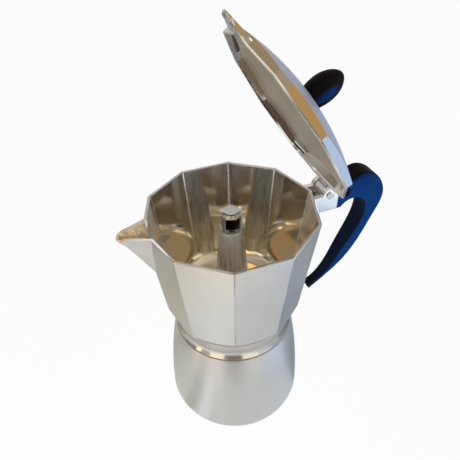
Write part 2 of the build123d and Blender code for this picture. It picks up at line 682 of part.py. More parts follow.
def washer_low_z():
    """Flat underside of the washer, level with the dome's inner edge round it."""
    rise = LID_CROWN_HEIGHT - LID_EDGE_HEIGHT
    return washer_top_z() - WASHER_THICK - rise * (WASHER_R / LID_R) ** 2


def knob_washer():
    """Washer bedded on the inside of the dome."""
    ring = disc(WASHER_R, washer_low_z(), washer_top_z()) & dome(LID_DOME_WALL)
    return opened(ring - disc(KNOB_SCREW_R + SLIP_FIT, LID_Z, CROWN_Z))


def knob_screw():
    """Screw from inside the lid that holds the knob."""
    low, high = washer_low_z(), knob_seat_z() + KNOB_SCREW_DEPTH - SEAT_GAP
    head = disc(SCREW_HEAD_R, low - SCREW_HEAD_THICK, low)
    return opened(head + disc(KNOB_SCREW_R, low, high))


def handle_place(out, down):
    """A point of the handle: shares of its reach past the rim and of its drop below the rim."""
    return (RIM_R + out * HANDLE_REACH, 0, RIM_Z - down * HANDLE_DROP)


def handle_outline():
    """Side view of the handle: arm, shoulder, grip that sweeps back in, and a blunt tip."""
    arm_low = (LUG_END_X, 0, LUG_LOW_Z)
    arm_high = (LUG_END_X, 0, arm_top_z())
    top = [handle_top(*place) for place in HANDLE_TOP_PLACES]
    back = [handle_place(*place) for place in HANDLE_BACK_PLACES]
    tip_out = handle_place(*HANDLE_TIP_PLACE)
    tip_rise = HANDLE_TIP_THICK * sqrt(1 - HANDLE_TIP_LEAN ** 2)
    tip_in = (tip_out[0] - HANDLE_TIP_THICK * HANDLE_TIP_LEAN, 0, tip_out[2] + tip_rise)
    gap_corner = (grip_top()[0] - GAP_CORNER / 2, 0, LUG_LOW_Z)
    gap_top = (grip_top()[0] - 2 * GAP_CORNER, 0, LUG_LOW_Z + GAP_RISE)
    outer = Spline(arm_high, *top, *back, tip_out)
    arm_under = (LUG_END_X + TONGUE_LENGTH / 2, 0, LUG_LOW_Z)
    grip = [handle_place(*place) for place in (GRIP_LOW_PLACE, GRIP_MIDDLE_PLACE, GRIP_HIGH_PLACE)]
    inside = Spline(tip_in, *grip, grip_top(), gap_corner, gap_top, arm_under)
    under = Line(arm_under, arm_low)
    return make_face([Line(arm_low, arm_high), outer, Line(tip_out, tip_in), inside, under])


def handle_top(out, up):
    """A point of the handle's top: shares of its reach past the rim and of its rise above the rim."""
    return (RIM_R + out * HANDLE_REACH, 0, RIM_Z + up * HANDLE_RISE)


def grip_top():
    """Top of the grip's inner face, where the finger gap begins to round over."""
    return (RIM_R + HANDLE_REACH - HANDLE_THICK, 0, RIM_Z - GRIP_TOP_DROP * HANDLE_DROP)


def handle_taper():
    """Tapering width of the handle, seen from behind: full at the arm, narrow at the tip."""
    top, arm, low = RIM_Z + 2 * HANDLE_RISE, LUG_LOW_Z, RIM_Z - HANDLE_DROP - OVERCUT
    widths = [(HANDLE_WIDTH, top), (HANDLE_WIDTH, arm), (HANDLE_MIDDLE_WIDTH, (arm + low) / 2),
              (HANDLE_TIP_WIDTH, low)]
    left = Spline(*[(0, -width / 2, z) for width, z in widths])
    right = Spline(*[(0, width / 2, z) for width, z in widths])
    face = make_face([left, Line(left @ 1, right @ 1), right, Line(right @ 0, left @ 0)])
    return extrude(face, RIM_R + 2 * HANDLE_REACH, dir=(1, 0, 0))


def long_edges(body):
    """The handle's edges from its arm to its tip, longest pair first."""
    sides = [edge for edge in body.edges() if abs(edge.center().Y) > HANDLE_TIP_WIDTH / 4]
    return sorted(sides, key=lambda edge: -edge.length)[:4]


def handle():
    """Curved handle with rounded edges, a socket for the lug's tongue and a recess for its screw."""
    body = plate_xz(handle_outline(), HANDLE_WIDTH) & handle_taper()
    body = fillet(long_edges(body)[:2], HANDLE_BACK_ROUND)
    inner = [edge for edge in body.edges() if edge.center().X < RIM_R + HANDLE_REACH - HANDLE_THICK]
    body = fillet(sorted(inner, key=lambda edge: -edge.length)[:2], HANDLE_INNER_ROUND)
    head_z = tongue_low_z() - SCREW_SEAT
    shank = disc(HANDLE_SCREW_R + SLIP_FIT, head_z, tongue_low_z() + OVERCUT, screw_x())
    recess = disc(SCREW_HEAD_R + SLIP_FIT, LUG_LOW_Z - HANDLE_THICK, head_z, screw_x())
    return body - tongue(SLIP_FIT) - shank - recess


def tongue_low_z():
    return LUG_LOW_Z + (ARM_THICK - TONGUE_HEIGHT) / 2 + TONGUE_RISE


def handle_screw():
    """Screw from below that holds the handle on the tongue."""
    head_z = tongue_low_z() - SCREW_SEAT
    head = disc(SCREW_HEAD_R, head_z - SCREW_HEAD_THICK / 2, head_z, screw_x())
    return head + disc(HANDLE_SCREW_R, head_z, tongue_low_z() + TONGUE_HEIGHT - SLIP_FIT, screw_x())


PIECES = {
    "boiler": boiler,
    "valve_body": valve_body,
    "valve_washer": valve_washer,
    "valve_cap": valve_cap,
    "valve_plunger": valve_plunger,
    "valve_spring": valve_spring,
    "funnel": funnel,
    "funnel_screen": funnel_screen,
    "gasket": gasket,
    "filter_plate": filter_plate,
    "jug": jug,
    "column": column,
    "column_cap": column_cap,
    "hinge_pin": hinge_pin,
    "handle": handle,
    "handle_screw": handle_screw,
    "lid": lid,
    "knob_collar": knob_collar,
    "knob": knob,
    "knob_washer": knob_washer,
    "knob_screw": knob_screw,
}

os.makedirs("parts", exist_ok=True)
for name, make in PIECES.items():
    export_step(make(), f"parts/{name}.step")
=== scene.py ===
import json
from math import cos, radians, sin

import bmesh
import bpy
from bpy.props import FloatProperty, FloatVectorProperty, PointerProperty
from mathutils import Matrix, Vector


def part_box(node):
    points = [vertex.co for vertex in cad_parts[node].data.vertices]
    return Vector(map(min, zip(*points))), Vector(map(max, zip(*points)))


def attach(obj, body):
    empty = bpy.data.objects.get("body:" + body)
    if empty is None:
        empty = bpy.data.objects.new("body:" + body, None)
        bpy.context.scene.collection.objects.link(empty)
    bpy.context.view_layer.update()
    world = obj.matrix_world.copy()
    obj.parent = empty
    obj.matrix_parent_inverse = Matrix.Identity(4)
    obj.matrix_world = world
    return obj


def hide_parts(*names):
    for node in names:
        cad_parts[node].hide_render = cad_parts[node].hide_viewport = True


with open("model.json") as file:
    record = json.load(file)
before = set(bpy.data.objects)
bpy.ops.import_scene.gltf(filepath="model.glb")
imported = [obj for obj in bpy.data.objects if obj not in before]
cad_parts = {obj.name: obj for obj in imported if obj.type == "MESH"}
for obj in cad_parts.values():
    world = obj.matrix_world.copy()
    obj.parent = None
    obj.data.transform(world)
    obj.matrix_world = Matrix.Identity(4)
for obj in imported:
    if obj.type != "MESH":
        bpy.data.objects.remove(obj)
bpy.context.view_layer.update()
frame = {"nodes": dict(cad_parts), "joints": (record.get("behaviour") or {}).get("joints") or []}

bl_info = {
    "name": "Stove-top coffee pot",
    "version": (1, 0, 0),
    "blender": (4, 5, 0),
    "location": "3D View > Sidebar > Coffee pot",
    "description": "Dresses the CAD frame of an aluminium coffee pot with an open lid",
    "category": "Object",
}

MM = 0.001
UP = Vector((0, 0, 1))


def joint(name):
    """A joint of the frame by its name."""
    return next(j for j in frame["joints"] if j["name"] == name)


# The lid's hinge, the jug's lugs that hold it and the lid's own end beside them
HINGE = Vector(joint("lid_hinge")["pos_m"])
CLOSING = Matrix.Rotation(radians(joint("lid_hinge")["range_deg"][0]), 3, "Y")
OPENING = CLOSING.transposed()
LUG_FROM_X = HINGE.x - 9 * MM
LUG_FROM_Z = 160 * MM
LUG_HALF_WIDTH = 9 * MM
LID_BACK_X = HINGE.x - 12 * MM

# Places on the jug, the shut lid and the column where one finish ends and the next starts
JUG_FOOT_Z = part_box("jug")[0].z
BAND_TOP_Z = JUG_FOOT_Z + 3.55 * MM
BOWL_FROM_Z = 100 * MM
RIM_Z = 180.4 * MM
# Below this level the jug's inside turns warm: partly coffee, partly painted reflection of warm light
COFFEE_AND_GLINT_Z = RIM_Z - 40 * MM
SPOUT_FROM_X = -52 * MM
BEAK_TIP_X = -60 * MM
CAP_BORE_RADIUS = 5.75 * MM

# How far a face's normal leans up or away from the pot's axis at those places
BOWL_SLOPE = 0.01
DOME_SLOPE = 0.02
UNDERSIDE_SLOPE = -0.25
TOP_SLOPE = 0.5
INWARD = -0.2
SKIRT_OUTWARD = 0.3
LIP_OUTWARD = 0.5

# Edges that are rounded: how sharp, in degrees, and how long they are, and their share of the full rounding
CORNER_SHARPNESS, CORNER_LENGTH = 30, 60 * MM
RIM_SHARPNESS, RIM_LENGTH, RIM_ROOM = 60, 20 * MM, 0.1 * MM
LID_SHARPNESS, LID_LENGTH, LID_ROUNDING = 15, 6 * MM, 0.5
TUBE_SHARPNESS, TUBE_ROUNDING = 50, 0.6

# The lid's lip: how far it slants in and how high its finish reaches, as shares of its height
LIP_SLANT = 0.45
LIP_REACH = 1.1
LIP_ROOM = 0.02 * MM

# Meshes: the smallest flat facet, the sharpest smooth edge, and what counts as one point or one plane
FACET_AREA = 45 * MM ** 2
SHELL_SMOOTH, GRIP_SMOOTH = 40, 50
MERGE_DISTANCE = 0.001 * MM
FLAT_ANGLE = 0.05


def shut(point):
    """Where a point of the open lid lies once the lid is shut."""
    return HINGE + CLOSING @ (point - HINGE)


def swung(point):
    """Where a point of the shut lid lies once the lid is open."""
    return HINGE + OPENING @ (point - HINGE)


class PotColours(bpy.types.PropertyGroup):
    """Base colours of the pot's finishes."""

    satin: FloatVectorProperty(
        name="Satin aluminium", description="Boiler and jug",
        subtype="COLOR", size=3, min=0, max=1, default=(0.80, 0.80, 0.79))
    polished: FloatVectorProperty(
        name="Polished aluminium", description="Lid, foot band, the jug's inner corners and the basket",
        subtype="COLOR", size=3, min=0, max=1, default=(0.80, 0.785, 0.745))
    dome: FloatVectorProperty(
        name="Lid dome", description="Outside of the lid's dome",
        subtype="COLOR", size=3, min=0, max=1, default=(0.60, 0.65, 0.74))
    bright: FloatVectorProperty(
        name="Milled aluminium", description="Hinge lugs at the rim and the lid's lip",
        subtype="COLOR", size=3, min=0, max=1, default=(0.94, 0.94, 0.94))
    cast: FloatVectorProperty(
        name="Cast skin", description="Unpolished, coffee-tinted inside of the spout",
        subtype="COLOR", size=3, min=0, max=1, default=(0.71, 0.54, 0.33))
    # Partly coffee film, partly painted reflection: a warm tint standing in for the warm glints low in the
    # jug
    film_and_glint: FloatVectorProperty(
        name="Coffee film", description="Tint low in the jug, where coffee has stood",
        subtype="COLOR", size=3, min=0, max=1, default=(0.93, 0.77, 0.52))
    steel: FloatVectorProperty(
        name="Column metal", description="Column in the jug, its cap and the small fasteners",
        subtype="COLOR", size=3, min=0, max=1, default=(0.66, 0.67, 0.655))
    brass: FloatVectorProperty(
        name="Valve brass", description="Body, cap and plunger of the safety valve",
        subtype="COLOR", size=3, min=0, max=1, default=(0.72, 0.50, 0.21))
    rubber: FloatVectorProperty(
        name="Gasket rubber", description="Gasket and valve washer",
        subtype="COLOR", size=3, min=0, max=1, default=(0.80, 0.78, 0.72))
    blue: FloatVectorProperty(
        name="Handle blue", description="Flanks of the handle and the knob",
        subtype="COLOR", size=3, min=0, max=1, default=(0.003, 0.050, 0.21))
    # Painted shade: darker blue for the handle's inner channel, where the blue plastic faces away from the
    # light
    navy_shade: FloatVectorProperty(
        name="Channel navy", description="Dark blue of the handle's inner channel",
        subtype="COLOR", size=3, min=0, max=1, default=(0.006, 0.012, 0.034))
    # Painted shade: near black for the handle's back, the knob's rim and its collar, blue plastic that the
    # light does not reach
    black: FloatVectorProperty(
        name="Spine black", description="Back of the handle, the knob's rim and its collar",
        subtype="COLOR", size=3, min=0, max=1, default=(0.011, 0.010, 0.0095))


class PotFinishes(bpy.types.PropertyGroup):
    """Roughness of the metals and sizes of the rounded edges."""

    satin_roughness: FloatProperty(
        name="Satin roughness", description="Roughness of the satin metal",
        subtype="FACTOR", default=0.34, min=0, max=1)
    polish_roughness: FloatProperty(
        name="Polish roughness", description="Roughness of the polished metal",
        subtype="FACTOR", default=0.055, min=0, max=1)
    facet_edge: FloatProperty(
        name="Facet edge", description="Rounding of the jug's and lid's edges",
        default=0.45 * MM, min=0.05 * MM, max=1.2 * MM, unit="LENGTH")
    lip_edge: FloatProperty(
        name="Lip edge", description="Height of the slanted strip at the lid's lower edge",
        default=1.0 * MM, min=0.3 * MM, max=2.0 * MM, unit="LENGTH")


class StageLight(bpy.types.PropertyGroup):
    """Strength of the studio's lamps."""

    key: FloatProperty(
        name="Key", description="Soft lamp from the front left",
        default=1.35, min=0, unit="POWER")
    cool: FloatProperty(
        name="Cool fill", description="Low cool lamp from the front right",
        default=1.75, min=0, unit="POWER")
    bowl: FloatProperty(
        name="Bowl", description="Warm spot into the jug",
        default=7.0, min=0, unit="POWER")
    room: FloatProperty(
        name="Room", description="Even light of the room",
        default=0.12, min=0)


def wire(tree, start, end):
    """Joins an output socket to an input socket."""
    tree.links.new(start, end)


def add_node(tree, kind, **values):
    """A shader node whose inputs and settings are given by name."""
    node = tree.nodes.new(kind)
    for name, value in values.items():
        if name in node.inputs:
            node.inputs[name].default_value = value
        else:
            setattr(node, name, value)
    return node


def maths(tree, operation, first, second=None):
    """A Math node on sockets or plain numbers; returns its output."""
    node = add_node(tree, "ShaderNodeMath", operation=operation)
    for socket, value in zip(node.inputs, (first, second)):
        if hasattr(value, "is_output"):
            wire(tree, value, socket)
        elif value is not None:
            socket.default_value = value
    return node.outputs[0]


def parted(tree, vector):
    """The X, Y and Z outputs of a vector."""
    parts = add_node(tree, "ShaderNodeSeparateXYZ")
    wire(tree, vector, parts.inputs[0])
    return parts.outputs


def mapped(tree, source, start, end, low=0.0, high=1.0, curve="LINEAR"):
    """Maps a value from one range to another; returns the new value."""
    node = add_node(tree, "ShaderNodeMapRange", interpolation_type=curve)
    for label, value in (("From Min", start), ("From Max", end), ("To Min", low), ("To Max", high)):
        node.inputs[label].default_value = value
    wire(tree, source, node.inputs["Value"])
    return node.outputs[0]


def mix_colours(tree, share, *colours):
    """Goes from one colour to another as a share rises; a colour may be a socket."""
    mix = add_node(tree, "ShaderNodeMix", data_type="RGBA")
    wire(tree, share, mix.inputs["Factor"])
    ends = [socket for socket in mix.inputs if socket.type == "RGBA"]
    for socket, colour in zip(ends, colours):
        if hasattr(colour, "is_output"):
            wire(tree, colour, socket)
        else:
            socket.default_value = (*colour, 1)
    return next(socket for socket in mix.outputs if socket.type == "RGBA")


def new_group(name, inputs, outputs):
    """A shader group with float or vector sockets, and its two end nodes."""
    group = bpy.data.node_groups.new(name, "ShaderNodeTree")
    for label, kind, value in inputs:
        socket = group.interface.new_socket(label, in_out="INPUT", socket_type=kind)
        if value is not None:
            socket.default_value = value
    for label, kind in outputs:
        group.interface.new_socket(label, in_out="OUTPUT", socket_type=kind)
    return group, group.nodes.new("NodeGroupInput"), group.nodes.new("NodeGroupOutput")


FLOAT, VECTOR = "NodeSocketFloat", "NodeSocketVector"


def turned_lines_group():
    """Fine lathe lines round the pot's axis."""
    group, start, end = new_group(
        "turned_lines",
        [("Vector", VECTOR, None), ("Lines", FLOAT, 1800.0), ("Sweep", FLOAT, 1.5)],
        [("Height", FLOAT), ("Tone", FLOAT)])
    x, y, z = parted(group, start.outputs["Vector"])
    radius = maths(group, "SQRT", maths(group, "ADD", maths(group, "MULTIPLY", x, x),
                                        maths(group, "MULTIPLY", y, y)))
    turn = maths(group, "MULTIPLY", maths(group, "ARCTAN2", y, x), start.outputs["Sweep"])
    place = add_node(group, "ShaderNodeCombineXYZ")
    wire(group, maths(group, "MULTIPLY", radius, start.outputs["Lines"]), place.inputs[0])
    wire(group, maths(group, "MULTIPLY", z, start.outputs["Lines"]), place.inputs[1])
    wire(group, turn, place.inputs[2])
    fine = add_node(group, "ShaderNodeTexNoise", Scale=1.0, Detail=2.0, Roughness=0.6)
    broad = add_node(group, "ShaderNodeTexNoise", Scale=0.12, Detail=2.0, Roughness=0.5)
    for noise in (fine, broad):
        wire(group, place.outputs[0], noise.inputs["Vector"])
    wire(group, fine.outputs[0], end.inputs["Height"])
    wire(group, broad.outputs[0], end.inputs["Tone"])
    return group


def polish_haze_group():
    """Soft cloudy haze and the slight waviness that hand polishing leaves."""
    group, start, end = new_group(
        "polish_haze",
        [("Vector", VECTOR, None), ("Cloud", FLOAT, 60.0), ("Wave", FLOAT, 90.0)],
        [("Haze", FLOAT), ("Height", FLOAT)])
    haze = add_node(group, "ShaderNodeTexNoise", Detail=4.0, Roughness=0.65, Distortion=0.4)
    wave = add_node(group, "ShaderNodeTexNoise", Detail=1.0, Roughness=0.4)
    for noise, scale in ((haze, "Cloud"), (wave, "Wave")):
        wire(group, start.outputs["Vector"], noise.inputs["Vector"])
        wire(group, start.outputs[scale], noise.inputs["Scale"])
    wire(group, haze.outputs[0], end.inputs["Haze"])
    wire(group, wave.outputs[0], end.inputs["Height"])
    return group


def fine_grain_group():
    """Even fine grain of blasted metal or moulded plastic."""
    group, start, end = new_group(
        "fine_grain", [("Vector", VECTOR, None), ("Grain", FLOAT, 2500.0)],
        [("Height", FLOAT), ("Tone", FLOAT)])
    grain = add_node(group, "ShaderNodeTexNoise", Detail=3.0, Roughness=0.7)
    tone = add_node(group, "ShaderNodeTexNoise", Scale=45.0, Detail=3.0, Roughness=0.55)
    wire(group, start.outputs["Vector"], grain.inputs["Vector"])
    wire(group, start.outputs["Vector"], tone.inputs["Vector"])
    wire(group, start.outputs["Grain"], grain.inputs["Scale"])
    wire(group, grain.outputs[0], end.inputs["Height"])
    wire(group, tone.outputs[0], end.inputs["Tone"])
    return group


def streaks_group():
    """Straight drawn streaks along the pot's axis."""
    group, start, end = new_group(
        "drawn_streaks", [("Vector", VECTOR, None), ("Across", FLOAT, 1500.0), ("Along", FLOAT, 20.0)],
        [("Height", FLOAT), ("Tone", FLOAT)])
    parts = parted(group, start.outputs["Vector"])
    place = add_node(group, "ShaderNodeCombineXYZ")
    for axis, scale in enumerate(("Across", "Across", "Along")):
        wire(group, maths(group, "MULTIPLY", parts[axis], start.outputs[scale]), place.inputs[axis])
    fine = add_node(group, "ShaderNodeTexNoise", Scale=1.0, Detail=2.0, Roughness=0.6)
    broad = add_node(group, "ShaderNodeTexNoise", Scale=0.25, Detail=2.0, Roughness=0.6)
    for noise in (fine, broad):
        wire(group, place.outputs[0], noise.inputs["Vector"])
    wire(group, fine.outputs[0], end.inputs["Height"])
    wire(group, broad.outputs[0], end.inputs["Tone"])
    return group


GROUPS = {}


def effect(tree, name, **values):
    """Places a shared effect in a material, fed with the piece's own coordinates."""
    makers = {"turned_lines": turned_lines_group, "polish_haze": polish_haze_group,
              "fine_grain": fine_grain_group, "drawn_streaks": streaks_group}
    if name not in GROUPS:
        GROUPS[name] = makers[name]()
    node = tree.nodes.new("ShaderNodeGroup")
    node.node_tree = GROUPS[name]
    for label, value in values.items():
        node.inputs[label].default_value = value
    coords = add_node(tree, "ShaderNodeTexCoord")
    wire(tree, coords.outputs["Object"], node.inputs["Vector"])
    return node


def new_material(name, **values):
    """A Principled material; returns it with its tree and shader."""
    material = bpy.data.materials.new(name)
    material.use_nodes = True
    tree = material.node_tree
    shader = tree.nodes["Principled BSDF"]
    for label, value in values.items():
        shader.inputs[label.replace("_", " ")].default_value = value
    return material, tree, shader


MASK_LOW, MASK_HIGH = 0.3, 0.7
PLASTIC_GRAIN, PLASTIC_SPECULAR = 1800.0, 0.06
DEEP_MIRRORINGS = 2.5


def spread(tree, shader, mask, low, high):
    """Lets a mask vary a shader's roughness between two values."""
    wire(tree, mapped(tree, mask, MASK_LOW, MASK_HIGH, low, high), shader.inputs["Roughness"])


def tint(tree, shader, mask, colour, depth):
    """Lets a mask vary a shader's colour a little over the surface."""
    ramp = add_node(tree, "ShaderNodeValToRGB")
    dark, light = ramp.color_ramp.elements
    dark.position, light.position = MASK_LOW, MASK_HIGH
    dark.color = [*(c * (1 - depth) for c in colour), 1]
    light.color = [*(min(1, c * (1 + depth)) for c in colour), 1]
    wire(tree, mask, ramp.inputs[0])
    wire(tree, ramp.outputs[0], shader.inputs["Base Color"])


def rough_bump(tree, shader, height, distance, strength):
    """Feeds a height to the shader's normal."""
    bump = add_node(tree, "ShaderNodeBump", Strength=strength, Distance=distance)
    wire(tree, height, bump.inputs["Height"])
    wire(tree, bump.outputs[0], shader.inputs["Normal"])


def turned_metal(name, colour, roughness, lines=1800.0, bump=0.12, anisotropic=0.5):
    """Lathe-turned metal."""
    material, tree, shader = new_material(name, Metallic=1.0, Anisotropic=anisotropic,
                                          Anisotropic_Rotation=0.25)
    pattern = effect(tree, "turned_lines", Lines=lines)
    spread(tree, shader, pattern.outputs["Tone"], low=roughness - 0.02, high=roughness + 0.02)
    tint(tree, shader, pattern.outputs["Tone"], colour, depth=0.012)
    rough_bump(tree, shader, pattern.outputs["Height"], distance=0.05 * MM, strength=bump)
    return material


def polished_metal(name, colour, roughness, wave):
    """Buffed metal with a faint haze and slightly wavy reflections."""
    material, tree, shader = new_material(name, Metallic=1.0)
    haze = effect(tree, "polish_haze")
    spread(tree, shader, haze.outputs["Haze"], low=roughness * 0.7, high=roughness * 1.6)
    tint(tree, shader, haze.outputs["Haze"], colour, depth=0.03)
    rough_bump(tree, shader, haze.outputs["Height"], distance=0.3 * MM, strength=wave)
    return material


def deep_scatter(tree, shader, share):
    """Lets metal that is only seen in other metal scatter light, as its many mirrorings would."""
    path = add_node(tree, "ShaderNodeLightPath")
    deep = maths(tree, "GREATER_THAN", path.outputs["Glossy Depth"], DEEP_MIRRORINGS)
    metal = maths(tree, "SUBTRACT", 1.0, maths(tree, "MULTIPLY", deep, share))
    wire(tree, metal, shader.inputs["Metallic"])


def coffee_film_and_glint(tree, shader, film_and_glint, low, high):
    """Tints a metal below a level, deepest at the foot: partly a coffee film, partly painted reflection
    standing in for the warm glints low in the jug.
    """
    coords = add_node(tree, "ShaderNodeTexCoord")
    depth = mapped(tree, parted(tree, coords.outputs["Object"])["Z"], high, low)
    base = shader.inputs["Base Color"]
    wire(tree, mix_colours(tree, depth, base.links[0].from_socket, film_and_glint), base)


def jug_inside(name, colour, film_and_glint, roughness, wave, scatter):
    """Polished metal tinted warm towards the foot, partly by coffee and partly as painted warm reflection.
    """
    material = polished_metal(name, colour, roughness, wave)
    tree = material.node_tree
    shader = tree.nodes["Principled BSDF"]
    deep_scatter(tree, shader, scatter)
    coffee_film_and_glint(tree, shader, film_and_glint, JUG_FOOT_Z, COFFEE_AND_GLINT_Z)
    return material


def satin_metal(name, colour, roughness):
    """Blasted or brushed satin metal with an even grain."""
    material, tree, shader = new_material(name, Metallic=1.0)
    grain = effect(tree, "fine_grain")
    spread(tree, shader, grain.outputs["Tone"], low=roughness - 0.04, high=roughness + 0.04)
    tint(tree, shader, grain.outputs["Tone"], colour, depth=0.02)
    rough_bump(tree, shader, grain.outputs["Height"], distance=0.05 * MM, strength=0.08)
    return material


def cast_metal(name, colour, roughness, metallic, coarseness=900.0, depth=0.2):
    """Bright cast metal left with a coarse skin."""
    material, tree, shader = new_material(name, Metallic=metallic)
    grain = effect(tree, "fine_grain", Grain=coarseness)
    spread(tree, shader, grain.outputs["Height"], low=roughness - 0.1, high=roughness + 0.15)
    tint(tree, shader, grain.outputs["Height"], colour, depth)
    rough_bump(tree, shader, grain.outputs["Height"], distance=0.3 * MM, strength=0.5)
    return material


def drawn_metal(name, colour, roughness, metallic=1.0):
    """Metal with streaks along the pot's axis."""
    material, tree, shader = new_material(name, Metallic=metallic)
    streaks = effect(tree, "drawn_streaks")
    spread(tree, shader, streaks.outputs["Tone"], low=roughness - 0.08, high=roughness + 0.1)
    tint(tree, shader, streaks.outputs["Tone"], colour, depth=0.12)
    rough_bump(tree, shader, streaks.outputs["Height"], distance=0.08 * MM, strength=0.25)
    return material


def grained_plastic(name, roughness):
    """Plastic or rubber with a fine grain, still without its colour; returns its tone too."""
    material, tree, shader = new_material(name, Specular_IOR_Level=PLASTIC_SPECULAR)
    grain = effect(tree, "fine_grain", Grain=PLASTIC_GRAIN)
    spread(tree, shader, grain.outputs["Tone"], low=roughness - 0.05, high=roughness + 0.05)
    rough_bump(tree, shader, grain.outputs["Height"], distance=0.08 * MM, strength=0.1)
    return material, tree, shader, grain.outputs["Tone"]


def moulded(name, colour, roughness):
    """Moulded plastic or rubber of one colour."""
    material, tree, shader, tone = grained_plastic(name, roughness)
    tint(tree, shader, tone, colour, depth=0.1)
    return material


def shade_painted_plastic(name, flank, back, channel, roughness, lit_flank_span=(0.42, 0.72), channel_shade_span=(-0.1, 0.15)):
    """Blue moulded plastic with painted shade: faces turned from the flanks are painted near black on the
    back and dark blue in the inner channel.
    """
    material, tree, shader, _ = grained_plastic(name, roughness)
    coords = add_node(tree, "ShaderNodeTexCoord")
    x, y, z = parted(tree, coords.outputs["Normal"])
    # Painted shade: the object-space normal picks the dark colours for faces turned up, back or in
    behind = mapped(tree, maths(tree, "ADD", x, z), *channel_shade_span, curve="SMOOTHSTEP")
    lit_flank_share = mapped(tree, maths(tree, "ABSOLUTE", y), *lit_flank_span, curve="SMOOTHSTEP")
    inner = mix_colours(tree, behind, channel, back)
    wire(tree, mix_colours(tree, lit_flank_share, inner, flank), shader.inputs["Base Color"])
    return material


# Near-black colour of the column's bore and of the cap's inner faces
INSIDE_DARK_COLOUR = (0.012, 0.010, 0.008)
FINISHES = {}


def recipes():
    """How each of the pot's finishes is made: its maker, its colour and its other values."""
    colours = bpy.context.scene.pot_colours
    satin = bpy.context.scene.pot_finishes.satin_roughness
    polish = bpy.context.scene.pot_finishes.polish_roughness
    return {
        "boiler_satin": (turned_metal, colours.satin, dict(roughness=satin + 0.02)),
        "jug_satin": (satin_metal, colours.satin, dict(roughness=satin)),
        # The jug's inside carries a warm tint at the foot that is partly painted reflection
        "jug_polished": (jug_inside, colours.satin,
                         dict(film_and_glint=colours.film_and_glint, roughness=polish, wave=0.06, scatter=0.9)),
        "band_polished": (turned_metal, colours.polished,
                          dict(roughness=0.17, lines=2500.0, bump=0.05, anisotropic=0.2)),
        "lug_polished": (polished_metal, colours.bright, dict(roughness=0.14, wave=0.6)),
        "corner_bright": (cast_metal, colours.polished, dict(roughness=0.2, metallic=0.6)),
        "dome_satin": (satin_metal, colours.dome, dict(roughness=0.38)),
        "lid_polished": (polished_metal, colours.polished, dict(roughness=polish, wave=0.008)),
        "lid_inside": (satin_metal, colours.polished, dict(roughness=0.33)),
        "lid_facets": (polished_metal, colours.polished, dict(roughness=polish, wave=0.008)),
        "lip_bright": (satin_metal, colours.bright, dict(roughness=0.33)),
        "column_drawn": (drawn_metal, colours.steel, dict(roughness=0.26, metallic=0.78)),
        "cap_steel": (drawn_metal, colours.steel, dict(roughness=0.24)),
        "pin_steel": (satin_metal, colours.steel, dict(roughness=0.2)),
        "basket_aluminium": (turned_metal, colours.polished, dict(roughness=0.2)),
        "valve_brass": (satin_metal, colours.brass, dict(roughness=0.22)),
        "gasket_rubber": (moulded, colours.rubber, dict(roughness=0.6)),
        # Painted shade: the handle's and the knob's faces turned from the light are painted dark on their
        # blue plastic
        "handle_two_tone": (shade_painted_plastic, colours.blue,
                            dict(back=colours.black, channel=colours.navy_shade, roughness=0.5)),
        "knob_two_tone": (shade_painted_plastic, colours.blue,
                          dict(back=colours.black, channel=colours.black, roughness=0.45,
                               lit_flank_span=(0.9, 1.03))),
        # Near-black inside of the column and of the cap's bore
        "coffee_stain": (moulded, INSIDE_DARK_COLOUR, dict(roughness=0.6)),
        "spout_cast": (cast_metal, colours.cast,
                       dict(roughness=0.4, metallic=0.3, coarseness=350.0, depth=0.4)),
        # Painted shade: the knob's collar, blue plastic like the knob, is painted all near black
        "spine_black": (moulded, colours.black, dict(roughness=0.5)),
    }


def finish(name):
    """One of the pot's finishes, made when it is first asked for."""
    if name not in FINISHES:
        maker, colour, values = recipes()[name]
        FINISHES[name] = maker(name, colour, **values)
    return FINISHES[name]


def link_piece(mesh, name, body, nodes=(), finishes=()):
    """Puts a finished mesh in the scene, riding on its body."""
    piece = bpy.data.objects.new(name, mesh)
    bpy.context.scene.collection.objects.link(piece)
    for material in finishes:
        mesh.materials.append(finish(material))
    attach(piece, body)
    if nodes:
        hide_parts(*nodes)
    return piece


def mesh_of(shape, name, sharp=SHELL_SMOOTH):
    """Turns a bmesh into a mesh with flat facets, smooth curves and its sharper edges kept."""
    mesh = bpy.data.meshes.new(name)
    shape.to_mesh(mesh)
    shape.free()
    mesh.set_sharp_from_angle(angle=radians(sharp))
    for face in mesh.polygons:
        face.use_smooth = face.area < FACET_AREA
    return mesh


def weighted(piece):
    """Keeps the shading of large flat faces flat beside their rounded edges."""
    modifier = piece.modifiers.new("weighted", "WEIGHTED_NORMAL")
    modifier.keep_sharp = True
    modifier.weight = 100


def copied(node):
    """A merged copy of a CAD node's mesh, with flat faces joined again."""
    shape = bmesh.new()
    shape.from_mesh(frame["nodes"][node].data)
    bmesh.ops.remove_doubles(shape, verts=shape.verts, dist=MERGE_DISTANCE)
    bmesh.ops.dissolve_limit(shape, angle_limit=radians(FLAT_ANGLE), verts=shape.verts, edges=shape.edges)
    return shape


def rounded(shape, edges, offset, clamp=False):
    """Rounds edges of a shape."""
    bmesh.ops.bevel(shape, geom=edges, offset=offset, offset_type="OFFSET", affect="EDGES", segments=2,
                    profile=0.5, material=-1, clamp_overlap=clamp, loop_slide=True)


def edges_over(shape, angle, test=lambda edge: True):
    """Edges sharper than an angle in degrees that pass a test."""
    return [edge for edge in shape.edges if len(edge.link_faces) == 2
            and edge.calc_face_angle(0) > radians(angle) and test(edge)]


def middle_of(edge):
    """The point halfway along an edge."""
    return (edge.verts[0].co + edge.verts[1].co) / 2


class PieceOperator:
    """What the operators of all pieces share."""
    bl_options = {"REGISTER", "UNDO"}


